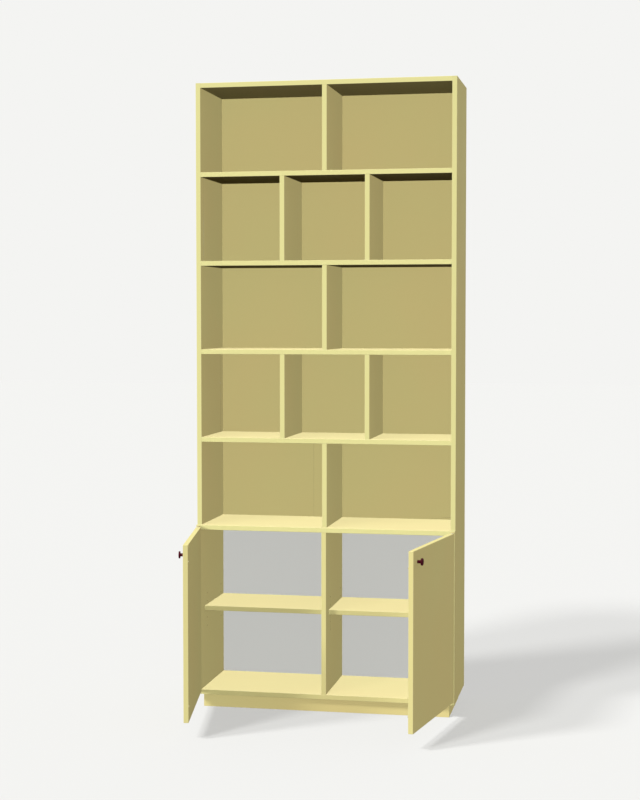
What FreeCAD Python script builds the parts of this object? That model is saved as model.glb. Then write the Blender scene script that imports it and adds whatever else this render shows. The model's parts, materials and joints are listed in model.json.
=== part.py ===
import FreeCAD, Part
import math
import os

# Bookcase with a two-door base cabinet, in millimetres, with +Z up. The origin is on the floor
# under the middle of the plinth, X runs along the width and the front faces -Y.
# The two doors stand open at rest.

V = FreeCAD.Vector
RIGHT = V(1, 0, 0)
REAR = V(0, 1, 0)
UP = V(0, 0, 1)
DOWN = V(0, 0, -1)
FRONT = V(0, -1, 0)

# ---- Driving dimensions ----

# Carcass
cabinet_width = 1000.0
cabinet_height = 2400.0
upper_depth = 330.0
base_step = 16.0              # the base cabinet stands this far out in front of the upper unit
board = 18.0                  # thickness of every carcass board
door_bay_height = 622.0       # clear height behind the doors
row_bays = (2, 3, 2, 3, 2)    # bays in each open row, from the lowest row up
arris = 0.8                   # rounding of the long front edges

# Plinth
plinth_height = 52.0
plinth_setback = 22.0         # from the base cabinet's front and sides
plinth_rear_setback = 10.0

# Back panels, let into rebates in the sides
back_thickness = 3.0
rebate_width = 9.0
back_play = 0.5
back_screw_pitch = 260.0

# Loose shelves on pins
shelf_space_below = 300.0     # from the base floor to the underside of the shelf
shelf_setback = 51.0          # from the base cabinet's front to the shelf's front
shelf_play = 1.0
pin_diameter = 5.0
pin_depth = 7.5               # pin length inside the board
pin_ledge = 8.0               # pin length under the shelf
pin_ledge_width = 8.0
pin_ledge_height = 6.0
pin_inset = 40.0              # from the shelf's front and rear edges
pin_hole_pitch = 32.0
pin_holes_each_way = 2        # spare holes above and below the one in use
pin_hole_play = 0.5           # extra depth of each hole

# Dowels in every fixed joint
dowel_diameter = 8.0
dowel_length = 30.0
dowel_in_face = 12.0          # depth in the board that is met on its face
dowel_play = 0.5              # extra depth of each bore
dowel_chamfer = 1.0
shelf_dowel_inset = 40.0      # from a board's front and rear edges
divider_dowel_inset = 60.0
stacking_dowel_inset = 80.0
plinth_dowel_spread = 140.0   # between the two dowels of a plinth rail, along Y
plinth_dowel_span = 470.0     # between the two dowels of a plinth rail, along X
corner_dowel_rise = 16.0      # from the rail's top and bottom edges

# Doors
door_thickness = 18.0
door_lap_top = 11.0           # how far a closed door covers the base top's front edge
door_lap_bottom = 5.0         # how far it covers the base floor's front edge
door_reveal = 2.0             # from the cabinet's side face to the door's hinge edge
door_meeting_gap = 3.0
door_gap = 2.4                # between a closed door and the carcass
door_arris = 1.0
door_open_angle = 80.0

# Pivot hinges: a pin at the top and at the bottom of each door
pivot_depth = 12.0            # from the door's inner face to the pin axis
pivot_pin_diameter = 5.0
pivot_play = 0.05             # radial play of the pin in its bush
bush_diameter = 8.0
bush_length = 12.0
bush_flange_diameter = 9.6
bush_flange = 1.0
bush_bore_play = 0.5          # extra depth of the bore for the bush
thrust_play = 0.05            # under the lower flange, which carries the door
lift_play = 0.5               # over the upper flange
bracket_plate = 2.0
bracket_leg_width = 14.0
bracket_leg_height = 36.0
bracket_tongue_width = 10.0
bracket_fit = 0.1             # round the bracket in its recess
bracket_screw_diameter = 3.5
bracket_screw_length = 16.0
bracket_screw_inset = 10.0    # from both ends of the leg

# Knobs
knob_inset = 47.0             # from the door's free edge
knob_drop = 41.5              # from the door's top edge
knob_projection = 20.0
knob_head_diameter = 26.0
knob_head_thickness = 6.2
knob_dome = 0.8               # height of the head's domed face
knob_rim = 1.2                # rounding of the head's two edges
knob_fillet = 1.0             # where the stem meets the head
knob_stem_diameter = 11.5
knob_bolt_diameter = 4.0
knob_bolt_depth = 11.0        # in the knob, and again in the door

# Hidden magnets in the base top, and the steel discs on the doors that they hold
catch_from_centre = 32.0
magnet_diameter = 10.0
magnet_length = 12.0
magnet_wall = 2.0             # wood left in front of the magnet
strike_diameter = 12.0
strike_thickness = 1.2
strike_drop = 8.0             # from the door's top edge
small_screw_diameter = 3.0
strike_screw_length = 12.0
back_screw_length = 14.0

# Bumpers on the doors' inner faces
bumper_diameter = 7.0
bumper_thickness = 2.1
bumper_inset = 4.0            # from the door's free edge
bumper_from_end = 60.0

# ---- Derived positions ----

base_depth = upper_depth + base_step
plinth_depth = base_depth - plinth_setback - plinth_rear_setback
half_width = cabinet_width / 2
inner_half = half_width - board

base_front = -plinth_depth / 2 - plinth_setback
upper_front = base_front + base_step
rear = base_front + base_depth
inner_rear = rear - back_thickness

floor_top = plinth_height + board
base_top_under = floor_top + door_bay_height
base_top = base_top_under + board
top_under = cabinet_height - board
row_count = len(row_bays)
row_clear = (top_under - base_top - (row_count - 1) * board) / row_count
row_pitch = row_clear + board
upper_seam = base_top_under + board / 2

shelf_under = floor_top + shelf_space_below
shelf_front = base_front + shelf_setback
shelf_rear = inner_rear - shelf_play

door_top = base_top_under + door_lap_top
door_bottom = floor_top - door_lap_bottom
door_back = base_front - door_gap
door_front = door_back - door_thickness
door_hinge_edge = -half_width + door_reveal
door_free_edge = -door_meeting_gap / 2

pivot_x = -half_width + board / 2
pivot_y = door_back - pivot_depth
upper_tongue = door_top + bush_flange + lift_play
lower_tongue = door_bottom - bush_flange - thrust_play - bracket_plate

countersink_ratio = 2.0       # head diameter over shank diameter


# ---- Shape helpers ----

def box(x0, x1, y0, y1, z0, z1):
    return Part.makeBox(x1 - x0, y1 - y0, z1 - z0, V(x0, y0, z0))


def rod(start, way, length, diameter):
    return Part.makeCylinder(diameter / 2, length, start, way)


def eased_board(x0, x1, y0, y1, z0, z1):
    """A board with its two long front edges rounded."""
    blank = box(x0, x1, y0, y1, z0, z1)
    grain = RIGHT if x1 - x0 > z1 - z0 else UP
    front_edges = []
    for edge in blank.Edges:
        way = edge.tangentAt(edge.FirstParameter)
        if edge.BoundBox.YMax < y0 + arris and abs(way.dot(grain)) > 0.5:
            front_edges.append(edge)
    return blank.makeFillet(arris, front_edges)


def mirrored(shape):
    """The same piece on the other side of the cabinet."""
    return shape.mirror(V(0, 0, 0), RIGHT)


def group(shapes):
    return Part.makeCompound(shapes)


def cut_near(shape, tools):
    """Cut away those tools that reach the shape."""
    near = [tool for tool in tools if shape.BoundBox.intersect(tool.BoundBox)]
    return shape.cut(group(near)) if near else shape


def screw(head, way, diameter, length):
    """A countersunk screw with a cross recess, from its head's face along way."""
    head_diameter = diameter * countersink_ratio
    sink = (head_diameter - diameter) / 2
    body = Part.makeCone(head_diameter / 2, diameter / 2, sink)
    shank = Part.makeCylinder(diameter / 2, length - diameter, V(0, 0, 0))
    tip = Part.makeCone(diameter / 2, diameter / 8, diameter, V(0, 0, length - diameter))
    body = body.fuse(shank).fuse(tip).removeSplitter()
    arm = head_diameter * 0.3
    slot = diameter * 0.12
    for reach_x, reach_y in ((arm, slot), (slot, arm)):
        body = body.cut(box(-reach_x, reach_x, -reach_y, reach_y, -1, sink * 0.6))
    return placed(body, head, way)


def screw_hole(head, way, diameter, length):
    """The pilot hole and the countersink that a screw fits."""
    head_diameter = diameter * countersink_ratio
    sink = (head_diameter - diameter) / 2
    cone = Part.makeCone(head_diameter / 2, diameter / 2, sink)
    shank = Part.makeCylinder(diameter / 2, length)
    return placed(cone.fuse(shank).removeSplitter(), head, way)


def placed(shape, point, way):
    """Turn a shape's own +Z to way and put its origin at point."""
    turned = shape.copy()
    turned.Placement = FreeCAD.Placement(point, FreeCAD.Rotation(UP, way))
    return turned


# ---- Dowelled joints ----
# A spot is the point of the joint on a dowel's axis and the way into the board met on its end.

def dowel(spot):
    point, way = spot
    peg = rod(point - way * dowel_in_face, way, dowel_length, dowel_diameter)
    rims = [edge for edge in peg.Edges if edge.Closed and len(edge.Vertexes) == 1]
    return peg.makeChamfer(dowel_chamfer, rims)


def dowel_bore(spot):
    point, way = spot
    start = point - way * (dowel_in_face + dowel_play)
    return rod(start, way, dowel_length + 2 * dowel_play, dowel_diameter)


def shelf_end_spots(front, z_middle):
    """Three dowels in each end of a fixed board between the sides."""
    first = front + shelf_dowel_inset
    last = inner_rear - shelf_dowel_inset
    spots = []
    for side in (-1, 1):
        for y in (first, (first + last) / 2, last):
            spots.append((V(side * inner_half, y, z_middle), RIGHT * -side))
    return spots


def divider_spots(x, front, inset, z_low, z_high):
    """Two dowels in each end of an upright divider."""
    spots = []
    for y in (front + inset, inner_rear - inset):
        spots.append((V(x, y, z_low), UP))
        spots.append((V(x, y, z_high), DOWN))
    return spots


def stacking_spots():
    """Dowels that locate the upper sides on the base sides."""
    spots = []
    for side in (-1, 1):
        x = side * (half_width - board / 2)
        for y in (upper_front + stacking_dowel_inset, inner_rear - stacking_dowel_inset):
            spots.append((V(x, y, base_top), UP))
    return spots


# ---- Upper unit ----

def row_floor(row):
    return base_top + row * row_pitch


def divider_places(bays):
    """Middle of each divider in a row of equal bays."""
    bay = (2 * inner_half - (bays - 1) * board) / bays
    return [-inner_half + k * (bay + board) - board / 2 for k in range(1, bays)]


def upper_spots():
    spots = stacking_spots()
    for row, bays in enumerate(row_bays):
        low = row_floor(row)
        high = low + row_clear
        spots += shelf_end_spots(upper_front, high + board / 2)
        for x in divider_places(bays):
            spots += divider_spots(x, upper_front, divider_dowel_inset, low, high)
    return spots


def wide_board(front, z_low):
    """A fixed board from side to side."""
    return eased_board(-inner_half, inner_half, front, inner_rear, z_low, z_low + board)


def side_panel(front, z_low, z_high):
    """The left side of either unit, rebated for the back panel."""
    panel = eased_board(-half_width, -inner_half, front, rear, z_low, z_high)
    rebate = box(-inner_half - rebate_width, -inner_half, inner_rear, rear, z_low, z_high)
    return panel.cut(rebate)


def upper_unit(bores):
    """Sides, fixed shelves, top and dividers, all bored for their dowels."""
    left = side_panel(upper_front, base_top, cabinet_height)
    pieces = {"upper_side_left": left, "upper_side_right": mirrored(left)}
    for row, bays in enumerate(row_bays):
        low = row_floor(row)
        high = low + row_clear
        name = "upper_shelf_%d" % (row + 1) if row < row_count - 1 else "top_board"
        pieces[name] = wide_board(upper_front, high)
        for number, x in enumerate(divider_places(bays)):
            divider = eased_board(x - board / 2, x + board / 2, upper_front, inner_rear, low, high)
            pieces["divider_row%d_%d" % (row + 1, number + 1)] = divider
    return {name: cut_near(shape, bores) for name, shape in pieces.items()}


# ---- Base cabinet ----

def base_spots():
    middle = board / 2
    spots = shelf_end_spots(base_front, plinth_height + middle)
    spots += shelf_end_spots(base_front, base_top_under + middle)
    spots += divider_spots(0, base_front, shelf_dowel_inset, floor_top, base_top_under)
    return spots


def pin_rows():
    """Heights of the shelf pin holes."""
    in_use = shelf_under - pin_diameter / 2
    steps = range(-pin_holes_each_way, pin_holes_each_way + 1)
    return [in_use + step * pin_hole_pitch for step in steps]


def pin_places():
    """The four upright faces that carry pins, each with the way out of the board."""
    return ((-inner_half, RIGHT), (-board / 2, -RIGHT), (board / 2, RIGHT), (inner_half, -RIGHT))


def pin_depths():
    return (shelf_front + pin_inset, shelf_rear - pin_inset)


def pin_holes():
    depth = pin_depth + pin_hole_play
    holes = []
    for x, out in pin_places():
        for y in pin_depths():
            holes += [rod(V(x, y, z), -out, depth, pin_diameter) for z in pin_rows()]
    return holes


def shelf_pin(x, y, out):
    """A steel pin with a flat ledge that the shelf lies on."""
    z = shelf_under - pin_diameter / 2
    shank = rod(V(x, y, z), -out, pin_depth, pin_diameter)
    x_far = x + out.x * pin_ledge
    half = pin_ledge_width / 2
    ledge_under = shelf_under - pin_ledge_height
    ledge = box(min(x, x_far), max(x, x_far), y - half, y + half, ledge_under, shelf_under)
    return shank.fuse(ledge).removeSplitter()


def shelf_pins(places):
    return group([shelf_pin(x, y, out) for x, out in places for y in pin_depths()])


def loose_shelf():
    """The left shelf, free to lift off its pins."""
    x0 = -inner_half + shelf_play
    x1 = -board / 2 - shelf_play
    return eased_board(x0, x1, shelf_front, shelf_rear, shelf_under, shelf_under + board)


def bracket_recess(z_low):
    """Recess in the side's front edge for one bracket leg."""
    half = bracket_leg_width / 2 + bracket_fit
    low = z_low - bracket_fit
    high = z_low + bracket_leg_height + bracket_fit
    return box(pivot_x - half, pivot_x + half, base_front, base_front + bracket_plate, low, high)


def base_cabinet(bores):
    side = side_panel(base_front, plinth_height, base_top)
    side = cut_near(side, [bracket_recess(z) for z in bracket_leg_bottoms()])
    side = cut_near(side, hinge_screw_holes())
    divider = eased_board(-board / 2, board / 2, base_front, inner_rear, floor_top, base_top_under)
    pieces = {
        "base_side_left": side,
        "base_side_right": mirrored(side),
        "base_floor": wide_board(base_front, plinth_height),
        "base_top": cut_near(wide_board(base_front, base_top_under), magnets()),
        "base_divider": divider,
    }
    holes = bores + pin_holes()
    pieces = {name: cut_near(shape, holes) for name, shape in pieces.items()}
    pieces["cabinet_shelf_left"] = loose_shelf()
    pieces["cabinet_shelf_right"] = mirrored(loose_shelf())
    pieces["shelf_pins_left"] = shelf_pins(pin_places()[:2])
    pieces["shelf_pins_right"] = shelf_pins(pin_places()[2:])
    return pieces


# ---- Plinth ----

def plinth_half_width():
    return half_width - plinth_setback


def plinth_spots():
    """Dowels up into the base floor, and those that join the rails."""
    spots = []
    rail_x = plinth_half_width() - board / 2
    rail_y = plinth_depth / 2 - board / 2
    for x in (-rail_x, 0, rail_x):
        for y in (-plinth_dowel_spread / 2, plinth_dowel_spread / 2):
            spots.append((V(x, y, plinth_height), DOWN))
    for x in (-plinth_dowel_span / 2, plinth_dowel_span / 2):
        for y in (-rail_y, rail_y):
            spots.append((V(x, y, plinth_height), DOWN))
    for x in (-rail_x, 0, rail_x):
        for z in (corner_dowel_rise, plinth_height - corner_dowel_rise):
            spots.append((V(x, -plinth_depth / 2 + board, z), REAR))
            spots.append((V(x, plinth_depth / 2 - board, z), FRONT))
    return spots


def plinth(bores):
    """Two long rails with three short ones between them."""
    wide = plinth_half_width()
    deep = plinth_depth / 2
    inner = deep - board
    pieces = {
        "plinth_front": box(-wide, wide, -deep, -inner, 0, plinth_height),
        "plinth_rear": box(-wide, wide, inner, deep, 0, plinth_height),
        "plinth_side_left": box(-wide, -wide + board, -inner, inner, 0, plinth_height),
        "plinth_side_right": box(wide - board, wide, -inner, inner, 0, plinth_height),
        "plinth_middle": box(-board / 2, board / 2, -inner, inner, 0, plinth_height),
    }
    return {name: cut_near(shape, bores) for name, shape in pieces.items()}


# ---- Back panels ----

def back_half_width():
    return inner_half + rebate_width - back_play


def spread(first, last, pitch):
    """Even steps between two ends, none longer than the pitch."""
    steps = max(1, math.ceil((last - first) / pitch))
    return [first + (last - first) * k / steps for k in range(steps + 1)]


def back_screw_places(z_low, z_high, board_heights):
    """Screws up both sides and along each board that the panel covers."""
    edge = inner_half + rebate_width / 2
    inset = rebate_width / 2
    points = []
    for z in spread(z_low + 4 * inset, z_high - 4 * inset, back_screw_pitch):
        points += [(-edge, z), (edge, z)]
    for z in board_heights:
        points += [(x, z) for x in spread(-inner_half * 2 / 3, inner_half * 2 / 3, back_screw_pitch)]
    return [(V(x, rear, z), FRONT, small_screw_diameter, back_screw_length) for x, z in points]


def base_back_places():
    low = plinth_height + board / 2
    high = upper_seam - board / 4
    return back_screw_places(low, high, [low, high])


def upper_back_places():
    low = upper_seam + board / 4
    high = top_under + board / 2
    shelves = [row_floor(row) - board / 2 for row in range(1, row_count)]
    return back_screw_places(low, high, [low] + shelves + [high])


def back_panels():
    wide = back_half_width()
    base = box(-wide, wide, inner_rear, rear, plinth_height + back_play, upper_seam - back_play)
    upper = box(-wide, wide, inner_rear, rear, upper_seam + back_play, cabinet_height - back_play)
    return {
        "base_back": cut_near(base, [screw_hole(*place) for place in base_back_places()]),
        "upper_back": cut_near(upper, [screw_hole(*place) for place in upper_back_places()]),
    }


# ---- Doors and their hinges ----

def swung(shape):
    """Turn a left-hand piece of the door from closed to its place at rest."""
    turned = shape.copy()
    turned.rotate(V(pivot_x, pivot_y, 0), UP, -door_open_angle)
    return turned


def bracket_leg_bottoms():
    return (lower_tongue, upper_tongue + bracket_plate - bracket_leg_height)


def hinge_screw_places():
    """Two screws in each bracket leg on the left side's front edge."""
    places = []
    for z in bracket_leg_bottoms():
        for height in (z + bracket_screw_inset, z + bracket_leg_height - bracket_screw_inset):
            head = V(pivot_x, base_front, height)
            places.append((head, REAR, bracket_screw_diameter, bracket_screw_length))
    return places


def hinge_screw_holes():
    return [screw_hole(*place) for place in hinge_screw_places()]


def hinge_bracket(leg_bottom, tongue_bottom):
    """An angle bracket: a leg let into the side and a tongue that holds the pin."""
    leg_half = bracket_leg_width / 2
    leg_rear = base_front + bracket_plate
    leg_top = leg_bottom + bracket_leg_height
    leg = box(pivot_x - leg_half, pivot_x + leg_half, base_front, leg_rear, leg_bottom, leg_top)
    half = bracket_tongue_width / 2
    tongue_top = tongue_bottom + bracket_plate
    tongue = box(pivot_x - half, pivot_x + half, pivot_y, leg_rear, tongue_bottom, tongue_top)
    nose = rod(V(pivot_x, pivot_y, tongue_bottom), UP, bracket_plate, bracket_tongue_width)
    bracket = leg.fuse(tongue).fuse(nose).removeSplitter()
    bracket = bracket.cut(rod(V(pivot_x, pivot_y, tongue_bottom), UP, bracket_plate, pivot_pin_diameter))
    return cut_near(bracket, hinge_screw_holes())


def hinge_pins():
    """The lower and upper pins of the left door, riveted into their tongues."""
    chamfer = pivot_pin_diameter / 8
    reach = bracket_plate + bush_flange + bush_length
    pins = []
    for start, way in ((V(pivot_x, pivot_y, lower_tongue), UP),
                       (V(pivot_x, pivot_y, upper_tongue + bracket_plate), DOWN)):
        pin = rod(start, way, reach, pivot_pin_diameter)
        far = start + way * reach
        tip = [edge for edge in pin.Edges if edge.Closed and abs(edge.CenterOfMass.z - far.z) < chamfer]
        pins.append(pin.makeChamfer(chamfer, tip))
    return pins


def bush(seat_z, way):
    """A flanged bush in a door edge, from the edge along way into the door."""
    seat = V(pivot_x, pivot_y, seat_z)
    sleeve = rod(seat, way, bush_length, bush_diameter)
    flange = rod(seat - way * bush_flange, way, bush_flange, bush_flange_diameter)
    bore_diameter = pivot_pin_diameter + 2 * pivot_play
    bore = rod(seat - way * bush_flange, way, bush_flange + bush_length, bore_diameter)
    return sleeve.fuse(flange).removeSplitter().cut(bore)


def closed_door():
    """The left door slab, closed, with every bore it needs."""
    slab = box(door_hinge_edge, door_free_edge, door_front, door_back, door_bottom, door_top)
    slab = slab.makeFillet(door_arris, slab.Edges)
    pin = V(pivot_x, pivot_y, 0)
    bush_depth = bush_length + bush_bore_play
    tools = [
        rod(pin + UP * door_bottom, UP, bush_depth, bush_diameter),
        rod(pin + UP * door_top, DOWN, bush_depth, bush_diameter),
        rod(knob_seat(), REAR, knob_bolt_depth, knob_bolt_diameter),
        screw_hole(*strike_screw_place()),
    ]
    return cut_near(slab, tools)


def knob_seat():
    return V(door_free_edge - knob_inset, door_front, door_top - knob_drop)


def rim_arc(rim_centre, first, last):
    """A quarter round of the head's rim between two of its ends."""
    middle = (first + last) * 0.5 - rim_centre
    return Part.Arc(first, rim_centre + middle * (knob_rim / middle.Length), last)


def closed_knob():
    """A turned knob: a straight stem and a thick flat head with a low dome."""
    stem = knob_stem_diameter / 2
    head = knob_head_diameter / 2
    neck = knob_projection - knob_head_thickness
    inner = head - knob_rim
    edge = knob_projection - knob_dome
    base = V(0, 0, 0)
    crown = V(0, 0, knob_projection)
    bend = V(stem + knob_fillet, 0, neck - knob_fillet)
    bend_middle = bend + V(-1, 0, 1) * (knob_fillet * math.sqrt(0.5))
    rear_rim = V(inner, 0, neck + knob_rim)
    front_rim = V(inner, 0, edge - knob_rim)
    dome_radius = (inner ** 2 + knob_dome ** 2) / (2 * knob_dome)
    half_turn = math.asin(inner / dome_radius) / 2
    dome_bulge = V(dome_radius * math.sin(half_turn), 0, crown.z - dome_radius * (1 - math.cos(half_turn)))
    edges = [
        Part.LineSegment(base, V(stem, 0, 0)),
        Part.LineSegment(V(stem, 0, 0), V(stem, 0, bend.z)),
        Part.Arc(V(stem, 0, bend.z), bend_middle, V(bend.x, 0, neck)),
        Part.LineSegment(V(bend.x, 0, neck), V(inner, 0, neck)),
        rim_arc(rear_rim, V(inner, 0, neck), V(head, 0, rear_rim.z)),
        Part.LineSegment(V(head, 0, rear_rim.z), V(head, 0, front_rim.z)),
        rim_arc(front_rim, V(head, 0, front_rim.z), V(inner, 0, edge)),
        Part.Arc(V(inner, 0, edge), dome_bulge, crown),
        Part.LineSegment(crown, base),
    ]
    profile = Part.Face(Part.Wire([line.toShape() for line in edges]))
    knob = profile.revolve(base, UP, 360)
    knob = knob.cut(rod(base, UP, knob_bolt_depth, knob_bolt_diameter))
    return placed(knob, knob_seat(), FRONT)


def knob_bolt():
    """A headless bolt, half in the knob and half in the door."""
    return rod(knob_seat() + FRONT * knob_bolt_depth, REAR, 2 * knob_bolt_depth, knob_bolt_diameter)


def strike_centre():
    return V(-catch_from_centre, door_back, door_top - strike_drop)


def strike_screw_place():
    head = strike_centre() + REAR * strike_thickness
    return (head, FRONT, small_screw_diameter, strike_screw_length)


def strike_plate():
    """The steel disc on the door that the magnet holds."""
    disc = rod(strike_centre(), REAR, strike_thickness, strike_diameter)
    return disc.cut(screw_hole(*strike_screw_place()))


def bumpers():
    x = door_free_edge - bumper_inset
    heights = (door_bottom + bumper_from_end, door_top - bumper_from_end)
    return group([rod(V(x, door_back, z), REAR, bumper_thickness, bumper_diameter) for z in heights])


def door_set():
    """Everything that turns with the left door, closed."""
    return {
        "door": closed_door(),
        "door_bushes": group([bush(door_bottom, UP), bush(door_top, DOWN)]),
        "knob": closed_knob(),
        "knob_bolt": knob_bolt(),
        "strike_plate": strike_plate(),
        "strike_screw": screw(*strike_screw_place()),
        "door_bumpers": bumpers(),
    }


def doors():
    pieces = {}
    for name, shape in door_set().items():
        pieces[name + "_left"] = swung(shape)
        pieces[name + "_right"] = mirrored(swung(shape))
    return pieces


def hinges():
    lower_leg, upper_leg = bracket_leg_bottoms()
    lower = hinge_bracket(lower_leg, lower_tongue)
    upper = hinge_bracket(upper_leg, upper_tongue)
    pins = hinge_pins()
    screws = [screw(*place) for place in hinge_screw_places()]
    return {
        "hinge_bracket_lower_left": lower,
        "hinge_bracket_lower_right": mirrored(lower),
        "hinge_bracket_upper_left": upper,
        "hinge_bracket_upper_right": mirrored(upper),
        "hinge_pins": group(pins + [mirrored(pin) for pin in pins]),
        "hinge_screws": group(screws + [mirrored(item) for item in screws]),
    }


# ---- Hidden magnets ----

def magnets():
    """Round magnets pressed up into the base top, behind its front edge."""
    y = base_front + magnet_wall + magnet_diameter / 2
    left = rod(V(-catch_from_centre, y, base_top_under), UP, magnet_length, magnet_diameter)
    return [left, mirrored(left)]


# ---- The whole bookcase ----

def fixings(upper, base):
    """Dowels and screws, each kind as one group."""
    return {
        "upper_dowels": group([dowel(spot) for spot in upper]),
        "base_dowels": group([dowel(spot) for spot in base]),
        "upper_back_screws": group([screw(*place) for place in upper_back_places()]),
        "base_back_screws": group([screw(*place) for place in base_back_places()]),
    }


def pierce(pieces, places, names):
    """Bore the named boards for the screws that run into them."""
    holes = [screw_hole(*place) for place in places]
    for name in names:
        pieces[name] = cut_near(pieces[name], holes)


def bookcase():
    upper = upper_spots()
    base = base_spots() + plinth_spots()
    bores = [dowel_bore(spot) for spot in upper + base]
    pieces = {}
    pieces.update(plinth(bores))
    pieces.update(base_cabinet(bores))
    pieces.update(upper_unit(bores))
    shelves = ["upper_shelf_%d" % row for row in range(1, row_count)]
    base_boards = ["base_floor", "base_side_left", "base_side_right"]
    upper_boards = ["top_board", "upper_side_left", "upper_side_right"] + shelves
    pierce(pieces, base_back_places() + upper_back_places(), base_boards + upper_boards + ["base_top"])
    pieces.update(back_panels())
    pieces.update(doors())
    pieces.update(hinges())
    pieces["catch_magnets"] = group(magnets())
    pieces.update(fixings(upper, base))
    return pieces


os.makedirs("parts", exist_ok=True)
for node_name, node_shape in bookcase().items():
    node_shape.exportStep("parts/" + node_name + ".step")
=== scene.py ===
import json
import math
from functools import cache
from typing import NamedTuple

import bmesh
import bpy
from bpy.props import FloatProperty, FloatVectorProperty, IntProperty, PointerProperty
from mathutils import Matrix, Vector

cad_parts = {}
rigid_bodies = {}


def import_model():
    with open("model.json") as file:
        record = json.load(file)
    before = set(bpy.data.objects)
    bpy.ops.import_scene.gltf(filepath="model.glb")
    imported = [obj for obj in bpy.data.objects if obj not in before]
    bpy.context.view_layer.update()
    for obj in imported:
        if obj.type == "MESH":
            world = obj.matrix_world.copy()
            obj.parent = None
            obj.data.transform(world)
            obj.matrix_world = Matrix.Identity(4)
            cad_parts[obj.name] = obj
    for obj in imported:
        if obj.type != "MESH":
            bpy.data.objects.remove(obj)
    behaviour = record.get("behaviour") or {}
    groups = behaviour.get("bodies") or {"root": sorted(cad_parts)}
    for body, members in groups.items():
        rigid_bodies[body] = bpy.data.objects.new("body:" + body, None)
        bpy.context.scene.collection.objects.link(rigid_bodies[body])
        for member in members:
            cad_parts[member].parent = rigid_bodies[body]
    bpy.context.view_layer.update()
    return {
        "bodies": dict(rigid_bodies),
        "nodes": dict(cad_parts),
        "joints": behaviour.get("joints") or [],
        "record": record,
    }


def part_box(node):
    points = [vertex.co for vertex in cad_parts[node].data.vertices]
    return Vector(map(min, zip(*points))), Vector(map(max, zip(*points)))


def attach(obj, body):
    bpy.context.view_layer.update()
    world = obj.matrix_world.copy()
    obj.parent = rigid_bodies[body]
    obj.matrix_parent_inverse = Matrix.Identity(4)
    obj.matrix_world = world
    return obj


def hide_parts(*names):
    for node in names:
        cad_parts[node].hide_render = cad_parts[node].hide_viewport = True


bl_info = {
    "name": "Bookcase with cabinet doors",
    "version": (1, 0, 0),
    "blender": (4, 5, 0),
    "location": "3D View > Sidebar > Bookcase",
    "description": "Finished boards, fittings and studio for a bookcase over a two-door cabinet",
    "category": "Object",
}

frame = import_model()

# Metres, with +Z up. The front faces -Y and the doors stand open at rest.

MM = 0.001
REAR = Vector((0, 1, 0))
UP = Vector((0, 0, 1))
FRONT = -REAR

BODIES = frame["record"]["behaviour"]["bodies"]
BODY_OF = {node: body for body, nodes in BODIES.items() for node in nodes}
SIDES = ("left", "right")

WELD = 0.002 * MM           # loose corners nearer than this are one corner
FLAT = math.radians(0.5)    # faces that meet at less than this lie in one plane
SHARP = math.radians(35)    # faces that meet at more than this keep a crisp edge
LONG_EDGE = 60 * MM         # arrises shorter than this are left as they are
ARRIS_REACH = 1.5 * MM      # a face narrower than this is part of an arris or a drilled hole
ARRIS_STEPS = 2             # faces across a rounded arris
FACING = 0.5                # a normal with more than this along an axis faces that way


def screen_colour(red, green, blue):
    """A linear colour from the 0 to 255 values that a screen shows."""
    shares = [value / 255 for value in (red, green, blue)]
    return tuple(s / 12.92 if s <= 0.04045 else ((s + 0.055) / 1.055) ** 2.4 for s in shares)


# ---- Sizes and colours that a user may change ----

def colour_property(name, description, screen):
    return FloatVectorProperty(
        name=name, description=description, default=screen_colour(*screen),
        subtype="COLOR", size=3, min=0, max=1)


def length_property(name, description, default):
    return FloatProperty(
        name=name, description=description, default=default, min=0, unit="LENGTH", subtype="DISTANCE")


def share_property(name, description, default):
    return FloatProperty(
        name=name, description=description, default=default, min=0, max=1, subtype="FACTOR")


def strength_property(name, description, default):
    return FloatProperty(name=name, description=description, default=default, min=0)


class BookcaseFinish(bpy.types.PropertyGroup):
    lacquer: colour_property("Lacquer", "Matt lacquer on every board", (229, 216, 146))
    lacquer_warm: colour_property("Warm lacquer", "Tone that the lacquer drifts to", (232, 210, 142))
    # Painted light: a paler, greener tone on edge faces, standing in for the key light on lit fronts.
    lacquer_edge_light: colour_property("Edge lacquer", "Lacquer over the boards' sealed edges", (229, 223, 153))
    lacquer_rubbed: colour_property("Rubbed lacquer", "Lacquer worn thin on arrises", (240, 231, 180))
    # Painted light: a paler tone on upward faces, standing in for light falling on the tops.
    lacquer_top_light: colour_property("Faded lacquer", "Upward faces paled by daylight", (239, 228, 174))
    panel: colour_property("Back panel", "Lacquer on the upper back panel", (226, 213, 143))
    grey: colour_property("Grey panel", "Lacquer on the cabinet's back panel", (234, 235, 231))
    fibreboard: colour_property("Fibreboard", "Bare rear face of the back panels", (150, 112, 74))
    burgundy: colour_property("Burgundy", "Lacquer on the knobs", (68, 0, 18))
    beech: colour_property("Beech", "Bare wood of the dowels", (212, 178, 130))
    roughness: share_property("Lacquer roughness", "How matt the lacquer is", 0.66)
    arris: length_property("Arris", "Rounding of the boards' outer edges", 0.5 * MM)


class BookcaseKnob(bpy.types.PropertyGroup):
    stem_diameter: length_property("Stem", "Diameter of the knob's stem", 11.5 * MM)
    head_thickness: length_property("Head", "Thickness of the knob's head, dome included", 6.2 * MM)
    dome_height: length_property("Dome", "Height of the head's domed face", 0.8 * MM)
    rim_radius: length_property("Rim", "Rounding of the head's two edges", 1.2 * MM)
    fillet: length_property("Fillet", "Rounding where the stem meets the head", 1.0 * MM)
    turns: IntProperty(name="Turns", description="Sides of the turned shape", default=96, min=12)


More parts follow.
